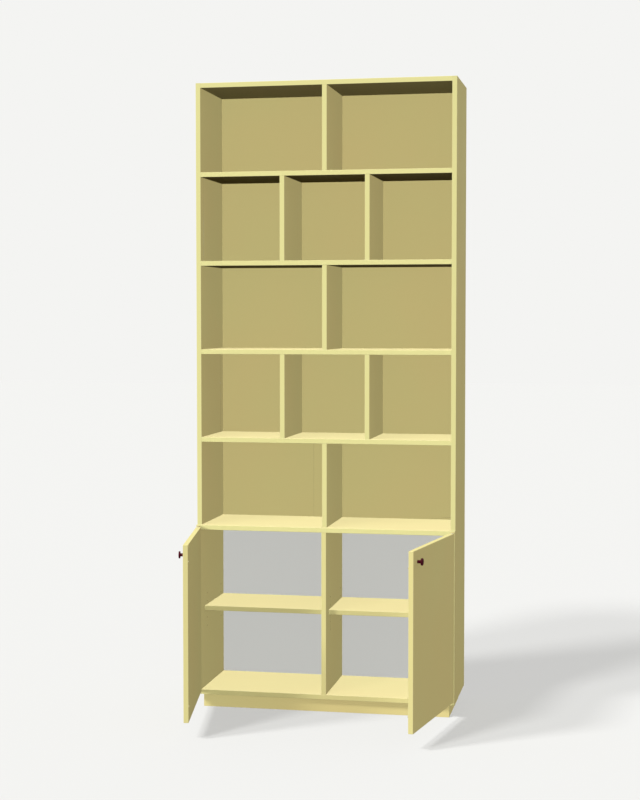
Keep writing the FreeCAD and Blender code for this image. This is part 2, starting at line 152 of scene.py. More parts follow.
class BookcaseFixings(bpy.types.PropertyGroup):
    recess_share: share_property("Recess", "Width of the cross recess, as a share of the head", 0.56)
    recess_depth: length_property("Recess depth", "Depth of the cross recess", 1.3 * MM)
    flutes: IntProperty(name="Flutes", description="Flutes round a dowel", default=16, min=6)
    flute_depth: length_property("Flute depth", "Depth of a dowel's flutes", 0.3 * MM)
    chamfer: length_property("Chamfer", "Chamfer on a dowel's ends", 1.0 * MM)
    seed: IntProperty(name="Seed", description="Seed for the angle each screw stopped at", default=7)


class BookcaseStage(bpy.types.PropertyGroup):
    backdrop: colour_property("Backdrop", "Colour behind the bookcase", (244, 244, 242))
    floor: colour_property("Floor", "Colour of the floor", (223, 223, 221))
    key_softness: FloatProperty(
        name="Key softness", description="Width of each key lamp as seen from the bookcase",
        default=math.radians(9.6), unit="ROTATION", subtype="ANGLE")
    key_strength: strength_property("Key strength", "Strength of the key lamps", 1.0)
    fill_strength: strength_property("Fill strength", "Strength of the fill lamps", 1.0)
    ambient: strength_property("Ambient", "Strength of the light from all round", 0.10)


class BookcaseSettings(bpy.types.PropertyGroup):
    finish: PointerProperty(type=BookcaseFinish)
    knob: PointerProperty(type=BookcaseKnob)
    fixings: PointerProperty(type=BookcaseFixings)
    stage: PointerProperty(type=BookcaseStage)


# ---- Places read from the frame ----

def opening(side):
    """Turns a door's piece from closed to its place at rest."""
    hinge = next(joint for joint in frame["joints"] if joint["child"] == f"door_{side}")
    closed = max(hinge["range_deg"]) if side == "left" else min(hinge["range_deg"])
    pivot = Matrix.Translation(Vector(hinge["pos_m"]))
    return pivot @ Matrix.Rotation(-math.radians(closed), 4, UP) @ pivot.inverted()


def joined_copy(node):
    """A node's mesh with its loose triangles joined and each flat face made whole."""
    form = bmesh.new()
    form.from_mesh(frame["nodes"][node].data)
    bmesh.ops.remove_doubles(form, verts=form.verts, dist=WELD)
    bmesh.ops.dissolve_limit(form, angle_limit=FLAT, verts=form.verts, edges=form.edges)
    return form


def solids(node, turn=Matrix.Identity(4)):
    """The lowest and highest corner of each separate solid in a node, after a turn."""
    form = joined_copy(node)
    form.transform(turn)
    waiting = set(form.verts)
    boxes = []
    while waiting:
        reached = [waiting.pop()]
        low, high = reached[0].co.copy(), reached[0].co.copy()
        while reached:
            corner = reached.pop()
            low = Vector(map(min, low, corner.co))
            high = Vector(map(max, high, corner.co))
            for edge in corner.link_edges:
                other = edge.other_vert(corner)
                if other in waiting:
                    waiting.discard(other)
                    reached.append(other)
        boxes.append((low, high))
    form.free()
    return sorted(boxes, key=lambda box: tuple(box[0]))


def narrowest(form_face):
    """How wide a face is across its longest edge."""
    return form_face.calc_area() / max(edge.calc_length() for edge in form_face.edges)


# ---- Pieces ----

def named(node, ending):
    return f"{node}_{ending}"


def add_piece(name, mesh, materials, slot, *nodes):
    """An object that rides where its nodes ride and stands for them."""
    piece = bpy.data.objects.new(name, mesh)
    bpy.context.scene.collection.objects.link(piece)
    for material in materials:
        mesh.materials.append(material)
    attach(piece, BODY_OF[nodes[0]])
    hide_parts(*nodes)
    return piece


def mesh_from(form, name):
    mesh = bpy.data.meshes.new(name)
    form.to_mesh(mesh)
    form.free()
    return mesh


def dress(node, material):
    """Give a node that keeps its own shape a finished surface."""
    for holder in frame["nodes"][node].material_slots:
        holder.material = material


def ease(form, width):
    """Round the long sharp outer edges."""
    outer = []
    for edge in form.edges:
        if edge.is_manifold and edge.is_convex and edge.calc_length() > LONG_EDGE:
            if edge.calc_face_angle() > SHARP:
                outer.append(edge)
    if outer:
        bmesh.ops.bevel(
            form, geom=outer, offset=width, offset_type="OFFSET", segments=ARRIS_STEPS, profile=0.5,
            affect="EDGES", clamp_overlap=True)


def mark(form, thin, edge_light_share, top_light_share):
    """Note on each face whether it is an arris, where lacquer wears first, or a drilled hole, which gets
    painted shade, and the shares of painted light that its tone carries on an edge and on an upward face.

    Edges are the faces that lie along the axis of the thickness."""
    arris = form.faces.layers.float.new("arris")
    edge_light = form.faces.layers.float.new("sealed_edge")
    faded = form.faces.layers.float.new("faded")
    bored = form.faces.layers.float.new("bored")
    for face in form.faces:
        slim = narrowest(face) < ARRIS_REACH
        inward = any(not edge.is_convex for edge in face.edges)
        face.smooth = slim
        face[arris] = 1.0 if slim and not inward else 0.0
        # Hole walls get painted shade; edge faces and upward faces get shares of painted light.
        face[bored] = 1.0 if slim and inward else 0.0
        face[edge_light] = edge_light_share if abs(face.normal[thin]) < FACING else 0.0
        face[faded] = top_light_share if face.normal.z > FACING else 0.0


def finished_board(node, ending, material, slot, edge_light=0.0, faded=0.0):
    """A board of the frame with eased edges. The shares are those that mark() notes."""
    form = joined_copy(node)
    ease(form, bpy.context.scene.bookcase.finish.arris)
    low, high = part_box(node)
    mark(form, min(range(3), key=lambda axis: high[axis] - low[axis]), edge_light, faded)
    name = named(node, ending)
    return add_piece(name, mesh_from(form, name), [material], slot, node)


# ---- Shader nodes ----

def add(tree, kind, inputs=None, **settings):
    """A new node. An input given as a socket is linked, and any other is set."""
    node = tree.nodes.new(kind)
    for name, value in settings.items():
        setattr(node, name, value)
    for name, value in (inputs or {}).items():
        if isinstance(value, bpy.types.NodeSocket):
            tree.links.new(value, node.inputs[name])
        else:
            node.inputs[name].default_value = value
    return node


def opaque(colour):
    return (*colour, 1)


def new_surface(name):
    """A material with an empty tree: the tree, its shader and its object coordinates."""
    material = bpy.data.materials.new(name)
    material.use_nodes = True
    tree = material.node_tree
    tree.nodes.clear()
    shader = add(tree, "ShaderNodeBsdfPrincipled")
    add(tree, "ShaderNodeOutputMaterial", {"Surface": shader.outputs["BSDF"]})
    place = add(tree, "ShaderNodeTexCoord").outputs["Object"]
    return material, tree, shader, place


def noise(tree, place, scale, detail=2.0, roughness=0.5):
    inputs = {"Vector": place, "Scale": scale, "Detail": detail, "Roughness": roughness}
    return add(tree, "ShaderNodeTexNoise", inputs).outputs["Fac"]


def stretched(tree, place, scale):
    """The same coordinates, squeezed or drawn out along each axis."""
    return add(tree, "ShaderNodeMapping", {"Vector": place, "Scale": scale}).outputs["Vector"]


def ranged(tree, value, span, to):
    """The value stretched from one span to another, and held within it."""
    inputs = {"Value": value, "From Min": span[0], "From Max": span[1], "To Min": to[0], "To Max": to[1]}
    return add(tree, "ShaderNodeMapRange", inputs, clamp=True).outputs["Result"]


def maths(tree, operation, one, other):
    return add(tree, "ShaderNodeMath", {0: one, 1: other}, operation=operation).outputs["Value"]


def plus(tree, one, other):
    return maths(tree, "ADD", one, other)


def less(tree, one, other):
    return maths(tree, "SUBTRACT", one, other)


def times(tree, one, other):
    return maths(tree, "MULTIPLY", one, other)


def noted(tree, name):
    """A share that mark() noted on each face."""
    return add(tree, "ShaderNodeAttribute", attribute_name=name).outputs["Fac"]


def blended(tree, share, one, other):
    """One colour turning into another by a share from 0 to 1."""
    node = add(tree, "ShaderNodeMix", data_type="RGBA")
    colours = [socket for socket in node.inputs if socket.type == "RGBA"]
    for socket, value in zip([node.inputs["Factor"], *colours], (share, one, other)):
        if isinstance(value, bpy.types.NodeSocket):
            tree.links.new(value, socket)
        else:
            socket.default_value = value
    return next(socket for socket in node.outputs if socket.type == "RGBA")


def bumped(tree, height, distance, strength=1.0, under=None):
    inputs = {"Height": height, "Distance": distance, "Strength": strength}
    if under is not None:
        inputs["Normal"] = under
    return add(tree, "ShaderNodeBump", inputs).outputs["Normal"]


def feed(tree, shader, **sockets):
    """Link or set the shader's inputs, with underscores standing for spaces."""
    for name, value in sockets.items():
        socket = shader.inputs[name.replace("_", " ")]
        if isinstance(value, bpy.types.NodeSocket):
            tree.links.new(value, socket)
        else:
            socket.default_value = value


# ---- Finishes ----

# Painted shade: drilled holes take this darkened raw-board tone in place of the shade inside them.
RAW_BOARD_AND_SHADE = screen_colour(140, 118, 76)  # raw board in the shade of a drilled hole

# Noise scales of the lacquer's patterns, from the slow drift of tone to the finest mist.
DRIFT = 1.6
SHEEN = 7
WEAR = 38
PEEL = 320
SPECK = 900
MIST = 2600

PEEL_DEPTH = 0.04 * MM
MIST_DEPTH = 0.006 * MM
SHEEN_SPREAD = 0.05      # how far the roughness strays either way
LACQUER_GLOSS = 0.07     # specular level, where 0.5 is an ordinary clear coat


def sprayed(name, colour, warm, edge, pale, rubbed):
    """Matt lacquer: a faint drift of tone, orange peel, painted light as paler tones on edges and on
    upward faces, painted shade in drilled holes, and arrises rubbed thin."""
    material, tree, shader, place = new_surface(name)
    drift = ranged(tree, noise(tree, place, DRIFT, detail=3), (0.38, 0.7), to=(0, 0.6))
    tone = blended(tree, drift, opaque(colour), opaque(warm))
    # Painted light: edge faces take a paler, greener tone and upward faces a paler one, standing in for
    # light on them.
    tone = blended(tree, noted(tree, "sealed_edge"), tone, opaque(edge))
    tone = blended(tree, noted(tree, "faded"), tone, opaque(pale))
    speck = ranged(tree, noise(tree, place, SPECK, detail=1), (0.35, 0.7), to=(0, 0.05))
    tone = blended(tree, speck, tone, opaque(rubbed))
    wear = noise(tree, place, WEAR, detail=4, roughness=0.65)
    patches = ranged(tree, wear, (0.45, 0.62), to=(0.1, 0.75))
    tone = blended(tree, times(tree, noted(tree, "arris"), patches), tone, opaque(rubbed))
    # Painted shade: the walls of drilled holes are darkened.
    tone = blended(tree, noted(tree, "bored"), tone, opaque(RAW_BOARD_AND_SHADE))
    middle = bpy.context.scene.bookcase.finish.roughness
    sheen = ranged(tree, noise(tree, place, SHEEN, detail=4), (0.3, 0.7),
                   to=(middle - SHEEN_SPREAD, middle + SHEEN_SPREAD))
    peel = bumped(tree, noise(tree, place, PEEL, detail=2), PEEL_DEPTH)
    mist = bumped(tree, noise(tree, place, MIST, detail=1), MIST_DEPTH, under=peel)
    feed(tree, shader, Base_Color=tone, Roughness=sheen, Normal=mist, Specular_IOR_Level=LACQUER_GLOSS)
    return material


def cream(name, colour):
    finish = bpy.context.scene.bookcase.finish
    return sprayed(name, colour, finish.lacquer_warm, finish.lacquer_edge_light, finish.lacquer_top_light,
                   finish.lacquer_rubbed)


@cache
def cream_lacquer():
    return cream("Cream lacquer", bpy.context.scene.bookcase.finish.lacquer)


@cache
def cream_panel():
    return cream("Cream panel lacquer", bpy.context.scene.bookcase.finish.panel)


@cache
def grey_panel():
    grey = bpy.context.scene.bookcase.finish.grey
    deeper = [share * 0.985 for share in grey]
    # The pale grey serves as painted edge light, painted top light and the worn arrises.
    pale = screen_colour(240, 240, 237)
    return sprayed("Grey panel lacquer", grey, deeper, pale, pale, pale)


WIRE_SCALE = 120
WIRE_DEPTH = 0.12 * MM
FIBRE_DEPTH = 0.08 * MM


@cache
def bare_fibreboard():
    """The rear of a pressed panel: brown fibres and the print of the wire screen."""
    material, tree, shader, place = new_surface("Bare fibreboard")
    colour = bpy.context.scene.bookcase.finish.fibreboard
    dark = opaque([share * 0.62 for share in colour])
    light = opaque([min(1, share * 1.35) for share in colour])
    clouds = ranged(tree, noise(tree, place, scale=5, detail=5), (0.3, 0.7), to=(0, 1))
    tone = blended(tree, clouds, dark, opaque(colour))
    fibres = noise(tree, stretched(tree, place, (900, 900, 220)), scale=1, detail=3)
    tone = blended(tree, ranged(tree, fibres, (0.5, 0.75), to=(0, 0.8)), tone, light)
    wires = []
    for direction in ("X", "Z"):
        wave = {"Vector": place, "Scale": WIRE_SCALE}
        wires.append(add(tree, "ShaderNodeTexWave", wave, bands_direction=direction).outputs["Fac"])
    normal = bumped(tree, times(tree, *wires), WIRE_DEPTH, strength=0.6)
    normal = bumped(tree, fibres, FIBRE_DEPTH, strength=0.7, under=normal)
    roughness = ranged(tree, fibres, (0.3, 0.7), to=(0.78, 0.92))
    feed(tree, shader, Base_Color=tone, Roughness=roughness, Normal=normal)
    return material


KNOB_GLOSS = 0.1


@cache
def burgundy_lacquer():
    """Satin lacquer on turned wood, with the grain just telegraphing through."""
    material, tree, shader, place = new_surface("Burgundy lacquer")
    colour = bpy.context.scene.bookcase.finish.burgundy
    grain = noise(tree, stretched(tree, place, (700, 700, 90)), scale=1, detail=4)
    light = opaque([min(1, share * 1.5 + 0.004) for share in colour])
    tone = blended(tree, ranged(tree, grain, (0.35, 0.7), to=(0, 0.7)), opaque(colour), light)
    roughness = ranged(tree, noise(tree, place, scale=140, detail=3), (0.3, 0.7), to=(0.38, 0.5))
    normal = bumped(tree, grain, 0.03 * MM, strength=0.5)
    feed(tree, shader, Base_Color=tone, Roughness=roughness, Normal=normal, Specular_IOR_Level=KNOB_GLOSS)
    return material


@cache
def bright_zinc():
    """Zinc plate: a cold metal with a faint crystalline mottle."""
    material, tree, shader, place = new_surface("Bright zinc plate")
    crystals = add(tree, "ShaderNodeTexVoronoi", {"Vector": place, "Scale": 900}).outputs["Distance"]
    share = ranged(tree, crystals, (0.1, 0.8), to=(0, 1))
    tone = blended(tree, share, opaque(screen_colour(214, 216, 217)), opaque(screen_colour(190, 192, 196)))
    roughness = ranged(tree, noise(tree, place, scale=500, detail=3), (0.3, 0.7), to=(0.26, 0.4))
    normal = bumped(tree, noise(tree, place, scale=1500, detail=2), 0.01 * MM)
    feed(tree, shader, Base_Color=tone, Roughness=roughness, Normal=normal, Metallic=1.0)
    return material


@cache
def beech():
    """Bare beech with short dark flecks."""
    material, tree, shader, place = new_surface("Bare beech")
    colour = bpy.context.scene.bookcase.finish.beech
    grain = noise(tree, place, scale=420, detail=5, roughness=0.6)
    dark = opaque([share * 0.7 for share in colour])
    tone = blended(tree, ranged(tree, grain, (0.45, 0.7), to=(0, 1)), opaque(colour), dark)
    feed(tree, shader, Base_Color=tone, Roughness=ranged(tree, grain, (0.3, 0.7), to=(0.6, 0.75)),
         Normal=bumped(tree, grain, 0.04 * MM))
    return material


def moulded(name, colour, roughness, grain_scale=1200, metallic=0.0):
    """A small moulded or pressed part with a fine even texture."""
    material, tree, shader, place = new_surface(name)
    grain = noise(tree, place, grain_scale, detail=2)
    dark = opaque([share * 0.86 for share in colour])
    clouds = ranged(tree, noise(tree, place, scale=60, detail=4), (0.35, 0.7), to=(0, 1))
    tone = blended(tree, clouds, opaque(colour), dark)
    feed(tree, shader, Base_Color=tone, Normal=bumped(tree, grain, 0.02 * MM), Metallic=metallic,
         Roughness=ranged(tree, grain, (0.3, 0.7), to=(roughness - 0.06, roughness + 0.06)))
    return material


@cache
def nylon():
    return moulded("Natural nylon", screen_colour(229, 227, 217), roughness=0.42)


@cache
def magnet_black():
    return moulded("Sintered magnet", screen_colour(52, 52, 54), roughness=0.5, grain_scale=1800,
                   metallic=0.4)


@cache
def soft_rubber():
    """Clear rubber that takes the tone of the lacquer behind it."""
    return moulded("Soft clear rubber", screen_colour(216, 204, 150), roughness=0.3)


# ---- Shapes grown by Geometry Nodes ----

def new_tree(name, inputs):
    """A Geometry Nodes tree with named inputs, and its input node."""
    tree = bpy.data.node_groups.new(name, "GeometryNodeTree")
    tree.interface.new_socket("Points", in_out="INPUT", socket_type="NodeSocketGeometry")
    for label, kind in inputs.items():
        tree.interface.new_socket(label, in_out="INPUT", socket_type=f"NodeSocket{kind}")
    tree.interface.new_socket("Shape", in_out="OUTPUT", socket_type="NodeSocketGeometry")
    return tree, tree.nodes.new("NodeGroupInput").outputs


def along(tree, distance):
    """A vector of that length along +Z."""
    return add(tree, "ShaderNodeCombineXYZ", {"Z": distance}).outputs["Vector"]


def moved(tree, shape, offset):
    return add(tree, "GeometryNodeTransform", {"Geometry": shape, "Translation": offset}).outputs["Geometry"]


def joined(tree, *shapes):
    node = tree.nodes.new("GeometryNodeJoinGeometry")
    for shape in shapes:
        tree.links.new(shape, node.inputs["Geometry"])
    return node.outputs["Geometry"]


def planted(tree, inputs, shape, spin=None):
    """Set the shape on every point, its +Z along the point's axis, and end the tree."""
    axis = add(tree, "GeometryNodeInputNamedAttribute", {"Name": "axis"}, data_type="FLOAT_VECTOR")
    along_axis = {"Vector": axis.outputs["Attribute"]}
    turn = add(tree, "FunctionNodeAlignRotationToVector", along_axis, axis="Z")
    if spin is not None:
        about = add(tree, "FunctionNodeAxisAngleToRotation", {"Axis": UP, "Angle": spin})
        both = {"Rotation": turn.outputs["Rotation"], "Rotate By": about.outputs["Rotation"]}
        turn = add(tree, "FunctionNodeRotateRotation", both, rotation_space="LOCAL")
    copies = add(tree, "GeometryNodeInstanceOnPoints",
                 {"Points": inputs["Points"], "Instance": shape, "Rotation": turn.outputs["Rotation"]})
    real = add(tree, "GeometryNodeRealizeInstances", {"Geometry": copies.outputs["Instances"]})
    finish = {"Geometry": real.outputs["Geometry"], "Material": inputs["Material"]}
    end = add(tree, "GeometryNodeSetMaterial", finish)
    add(tree, "NodeGroupOutput", {"Shape": end.outputs["Geometry"]})


HEAD_SIDES = 24
SHANK_SIDES = 16
SLOT_SHARE = 0.28           # width of each slot of the cross, as a share of its length
DEEPEST_SHARE = 0.85        # how much of the countersunk head the cross may go through


def screw_tree():
    """A countersunk screw with a cross recess and a point, driven along +Z from its head."""
    tree, inputs = new_tree("Countersunk screws", {
        "Head diameter": "Float", "Shank diameter": "Float", "Length": "Float",
        "Recess share": "Float", "Recess depth": "Float", "Seed": "Int", "Material": "Material"})
    head = times(tree, inputs["Head diameter"], 0.5)
    shank = times(tree, inputs["Shank diameter"], 0.5)
    sink = less(tree, head, shank)
    cone = add(tree, "GeometryNodeMeshCone",
               {"Vertices": HEAD_SIDES, "Radius Bottom": head, "Radius Top": shank, "Depth": sink})
    width = times(tree, inputs["Head diameter"], inputs["Recess share"])
    slot_width = times(tree, width, SLOT_SHARE)
    deep = times(tree, inputs["Recess depth"], 2)
    bars = []
    for x, y in ((width, slot_width), (slot_width, width)):
        size = add(tree, "ShaderNodeCombineXYZ", {"X": x, "Y": y, "Z": deep}).outputs["Vector"]
        bars.append(add(tree, "GeometryNodeMeshCube", {"Size": size}).outputs["Mesh"])
    recessed = tree.nodes.new("GeometryNodeMeshBoolean")
    tree.links.new(cone.outputs["Mesh"], recessed.inputs["Mesh 1"])
    for bar in bars:
        tree.links.new(bar, recessed.inputs["Mesh 2"])
    tip = times(tree, shank, 2)
    straight = less(tree, less(tree, inputs["Length"], tip), sink)
    body = add(tree, "GeometryNodeMeshCylinder",
               {"Vertices": SHANK_SIDES, "Radius": shank, "Depth": straight})
    body_place = along(tree, plus(tree, sink, times(tree, straight, 0.5)))
    point = add(tree, "GeometryNodeMeshCone",
                {"Vertices": SHANK_SIDES, "Radius Bottom": shank, "Radius Top": 0.0, "Depth": tip})
    point_place = along(tree, plus(tree, sink, straight))
    whole = joined(tree, recessed.outputs["Mesh"], moved(tree, body.outputs["Mesh"], body_place),
                   moved(tree, point.outputs["Mesh"], point_place))
    angle = add(tree, "FunctionNodeRandomValue", {"Seed": inputs["Seed"]}, data_type="FLOAT")
    least, most = [socket for socket in angle.inputs if socket.enabled and socket.type == "VALUE"]
    least.default_value = 0.0
    most.default_value = math.pi / 2
    spin = next(socket for socket in angle.outputs if socket.enabled)
    planted(tree, inputs, whole, spin)
    return tree


def dowel_tree():
    """A fluted dowel with chamfered ends, its middle at the point."""
    tree, inputs = new_tree("Fluted dowels", {
        "Diameter": "Float", "Length": "Float", "Chamfer": "Float", "Flutes": "Int",
        "Flute depth": "Float", "Material": "Material"})
    radius = times(tree, inputs["Diameter"], 0.5)
    valley = less(tree, radius, inputs["Flute depth"])
    outline = add(tree, "GeometryNodeCurveStar",
                  {"Points": inputs["Flutes"], "Inner Radius": valley, "Outer Radius": radius})
    straight = less(tree, inputs["Length"], times(tree, inputs["Chamfer"], 2))
    half = times(tree, straight, 0.5)
    line = add(tree, "GeometryNodeCurvePrimitiveLine",
               {"Start": along(tree, times(tree, half, -1)), "End": along(tree, half)})
    body = add(tree, "GeometryNodeCurveToMesh", {
        "Curve": line.outputs["Curve"], "Profile Curve": outline.outputs["Curve"], "Fill Caps": True})
    small = less(tree, valley, inputs["Chamfer"])
    end = add(tree, "GeometryNodeMeshCone", {
        "Vertices": inputs["Flutes"], "Radius Bottom": valley, "Radius Top": small,
        "Depth": inputs["Chamfer"]})
    upper = moved(tree, end.outputs["Mesh"], along(tree, half))
    lower = add(tree, "GeometryNodeTransform", {"Geometry": upper}, mode="COMPONENTS")
    lower.inputs["Rotation"].default_value = (math.pi, 0, 0)
    planted(tree, inputs, joined(tree, body.outputs["Mesh"], upper, lower.outputs["Geometry"]))
    return tree


def grown(name, spots, tree, values):
    """The plain mesh that a tree grows on points, each with its own axis."""
    seeds = bpy.data.meshes.new(name)
    seeds.from_pydata([point for point, _ in spots], [], [])
    axes = seeds.attributes.new("axis", "FLOAT_VECTOR", "POINT")
    for item, (_, direction) in zip(axes.data, spots):
        item.vector = direction
    holder = bpy.data.objects.new(name, seeds)
    bpy.context.scene.collection.objects.link(holder)
    modifier = holder.modifiers.new(tree.name, "NODES")
    modifier.node_group = tree
    for item in tree.interface.items_tree:
        if item.name in values:
            modifier[item.identifier] = values[item.name]
    ready = bpy.context.evaluated_depsgraph_get()
    mesh = bpy.data.meshes.new_from_object(holder.evaluated_get(ready))
    holder.modifiers.remove(modifier)
    bpy.data.objects.remove(holder)
    if not mesh.polygons:
        raise RuntimeError(f"{name}: the tree {tree.name} grew nothing")
    mesh.shade_smooth()
    mesh.set_sharp_from_angle(angle=SHARP)
    mesh.name = name
    return mesh


# ---- Operators ----

class BookcaseStep:
    bl_options = {"REGISTER", "UNDO"}

    def execute(self, context):
        self.build(context.scene.bookcase)
        return {"FINISHED"}


CABINET_BOARDS = ("base_divider", "base_floor", "cabinet_shelf", "plinth")
OPEN_BOARDS = ("base_side", "base_top", "divider_row", "top_board", "upper_shelf", "upper_side")

# Shares of painted light as a paler tone: on edges, half as much on the cabinet's boards, and on upward
# faces.
CABINET_EDGES = 0.5
OPEN_EDGES = 1.0
SHELF_TOP_LIGHT = 0.5


def lacquered_boards():
    """Each carcass node that carries the cream lacquer, and the shares of painted light on its edges and
    on its top. The top board's upper face gets none."""
    for node in sorted(BODY_OF):
        if node.startswith((*CABINET_BOARDS, *OPEN_BOARDS)):
            edge_light = CABINET_EDGES if node.startswith(CABINET_BOARDS) else OPEN_EDGES
            faded = 0.0 if node == "top_board" else SHELF_TOP_LIGHT
            yield node, edge_light, faded


class BOOKCASE_OT_boards(BookcaseStep, bpy.types.Operator):
    """Sides, shelves, dividers, top and plinth in matt lacquer"""
    bl_idname = "bookcase.boards"
    bl_label = "Boards"

    def build(self, settings):
        for node, edge_light, faded in lacquered_boards():
            finished_board(node, "board", cream_lacquer(), "cream_lacquer", edge_light, faded)


class BOOKCASE_OT_back_panels(BookcaseStep, bpy.types.Operator):
    """Back panels, lacquered in front and bare behind"""
    bl_idname = "bookcase.back_panels"
    bl_label = "Back panels"

    def build(self, settings):
        for node, lacquer, slot in (
                ("upper_back", cream_panel(), "cream_panel"), ("base_back", grey_panel(), "grey_panel")):
            panel = finished_board(node, "panel", lacquer, slot, OPEN_EDGES)
            panel.data.materials.append(bare_fibreboard())
            for face in panel.data.polygons:
                face.material_index = 1 if face.normal.y > FACING else 0


class BOOKCASE_OT_doors(BookcaseStep, bpy.types.Operator):
    """The two door leaves"""
    bl_idname = "bookcase.doors"
    bl_label = "Doors"

    def build(self, settings):
        for side in SIDES:
            finished_board(f"door_{side}", "leaf", cream_lacquer(), "cream_lacquer", CABINET_EDGES)


DOME_RINGS = 8
RIM_STEPS = 8
FILLET_STEPS = 6


def arc(centre, radius, start, end, count):
    """Points of an arc in the profile's plane, as (radius, height) pairs."""
    steps = [start + (end - start) * step / count for step in range(count + 1)]
    return [(centre[0] + radius * math.cos(a), centre[1] + radius * math.sin(a)) for a in steps]


def knob_profile(sizes, head, projection):
    """The turned outline from the stem's foot to the last ring of the dome."""
    stem = sizes.stem_diameter / 2
    rim = sizes.rim_radius
    bend = sizes.fillet
    inner = head - rim
    neck = projection - sizes.head_thickness
    edge = projection - sizes.dome_height
    quarter = math.pi / 2
    outline = [(stem, 0.0)]
    outline += arc((stem + bend, neck - bend), bend, math.pi, quarter, FILLET_STEPS)
    outline += arc((inner, neck + rim), rim, -quarter, 0, RIM_STEPS)
    outline += arc((inner, edge - rim), rim, 0, quarter, RIM_STEPS)
    dome = (inner ** 2 + sizes.dome_height ** 2) / (2 * sizes.dome_height)
    reach = math.asin(inner / dome)
    for step in range(1, DOME_RINGS):
        angle = reach * (1 - step / DOME_RINGS)
        outline.append((dome * math.sin(angle), projection - dome * (1 - math.cos(angle))))
    return outline


def turned(outline, top, turns):
    """A closed shape turned about +Z, with a flat foot and a pole on top."""
    form = bmesh.new()
    rings = []
    for radius, height in outline:
        ring = []
        for step in range(turns):
            angle = 2 * math.pi * step / turns
            ring.append(form.verts.new((radius * math.cos(angle), radius * math.sin(angle), height)))
        rings.append(ring)
    for lower, upper in zip(rings, rings[1:]):
        for step in range(turns):
            after = (step + 1) % turns
            form.faces.new((lower[step], lower[after], upper[after], upper[step]))
    form.faces.new(list(reversed(rings[0])))
    pole = form.verts.new((0, 0, top))
    for step in range(turns):
        form.faces.new((rings[-1][step], rings[-1][(step + 1) % turns], pole))
    bmesh.ops.recalc_face_normals(form, faces=form.faces)
    return form


class BOOKCASE_OT_knobs(BookcaseStep, bpy.types.Operator):
    """A turned knob on each door"""
    bl_idname = "bookcase.knobs"
    bl_label = "Knobs"

    def build(self, settings):
        for side in SIDES:
            swing = opening(side)
            low, high = solids(f"knob_{side}", swing.inverted())[0]
            seat = Vector(((low.x + high.x) / 2, high.y, (low.z + high.z) / 2))
            radius = (high.z - low.z) / 2
            projection = high.y - low.y
            form = turned(knob_profile(settings.knob, radius, projection), projection, settings.knob.turns)
            outward = FRONT.to_track_quat("Z", "X").to_matrix().to_4x4()
            form.transform(swing @ Matrix.Translation(seat) @ outward)
            name = named(f"knob_{side}", "turned")
            mesh = mesh_from(form, name)
            mesh.shade_smooth()
            mesh.set_sharp_from_angle(angle=SHARP)
            add_piece(name, mesh, [burgundy_lacquer()], "burgundy_lacquer", f"knob_{side}")


class BOOKCASE_OT_hinges(BookcaseStep, bpy.types.Operator):
    """Corner pivot hinges: angle brackets, pins and flanged bushes"""
    bl_idname = "bookcase.hinges"
    bl_label = "Hinges"

    def build(self, settings):
        for side in SIDES:
            for level in ("lower", "upper"):
                dress(f"hinge_bracket_{level}_{side}", cream_lacquer())
            dress(f"door_bushes_{side}", nylon())
        dress("hinge_pins", bright_zinc())


class BOOKCASE_OT_catches(BookcaseStep, bpy.types.Operator):
    """Hidden magnets, the steel discs they hold, the knobs' bolts and the doors' bumpers"""
    bl_idname = "bookcase.catches"
    bl_label = "Catches"

    def build(self, settings):
        dress("catch_magnets", magnet_black())
        for side in SIDES:
            dress(f"strike_plate_{side}", cream_lacquer())
            dress(f"knob_bolt_{side}", bright_zinc())
            dress(f"door_bumpers_{side}", soft_rubber())


def screw_spots(node, driven, turn):
    """The middle of each screw's head, and the way it is driven, in the turned frame."""
    spots = []
    for low, high in solids(node, turn):
        middle = (low + high) / 2
        reach = abs((high - low).dot(driven)) / 2
        spots.append((middle - driven * reach, driven))
    return spots


class BOOKCASE_OT_screws(BookcaseStep, bpy.types.Operator):
    """Countersunk screws with cross recesses"""
    bl_idname = "bookcase.screws"
    bl_label = "Screws"

    def build(self, settings):
        tree = screw_tree()
        plated = (bright_zinc(), "zinc_steel")
        painted_over = (cream_lacquer(), "lacquered_steel")
        groups = [
            ("base_back_screws", FRONT, None, plated), ("upper_back_screws", FRONT, None, plated),
            ("hinge_screws", REAR, None, plated),
            ("strike_screw_left", FRONT, "left", painted_over),
            ("strike_screw_right", FRONT, "right", painted_over)]
        for node, driven, side, (material, slot) in groups:
            swing = opening(side) if side else Matrix.Identity(4)
            spots = screw_spots(node, driven, swing.inverted())
            low, high = solids(node, swing.inverted())[0]
            length = abs((high - low).dot(driven))
            head = min(high[axis] - low[axis] for axis in range(3) if abs(driven[axis]) < FACING)
            shank = head / 2
            sink = (head - shank) / 2
            values = {
                "Head diameter": head, "Shank diameter": shank, "Length": length,
                "Recess share": settings.fixings.recess_share,
                "Recess depth": min(settings.fixings.recess_depth, sink * DEEPEST_SHARE),
                "Seed": settings.fixings.seed, "Material": material}
            name = named(node, "driven")
            mesh = grown(name, spots, tree, values)
            mesh.transform(swing)
            add_piece(name, mesh, [], slot, node)


class BOOKCASE_OT_dowels(BookcaseStep, bpy.types.Operator):
    """Fluted dowels in the fixed joints"""
    bl_idname = "bookcase.dowels"
    bl_label = "Dowels"

    def build(self, settings):
        tree = dowel_tree()
        for node in ("base_dowels", "upper_dowels"):
            spots = []
            for low, high in solids(node):
                size = high - low
                along_dowel = Vector(1.0 if length == max(size) else 0.0 for length in size)
                spots.append(((low + high) / 2, along_dowel))
            values = {
                "Diameter": min(size), "Length": max(size), "Chamfer": settings.fixings.chamfer,
                "Flutes": settings.fixings.flutes, "Flute depth": settings.fixings.flute_depth,
                "Material": beech()}
            name = named(node, "fluted")
            add_piece(name, grown(name, spots, tree, values), [], "dowel_wood", node)


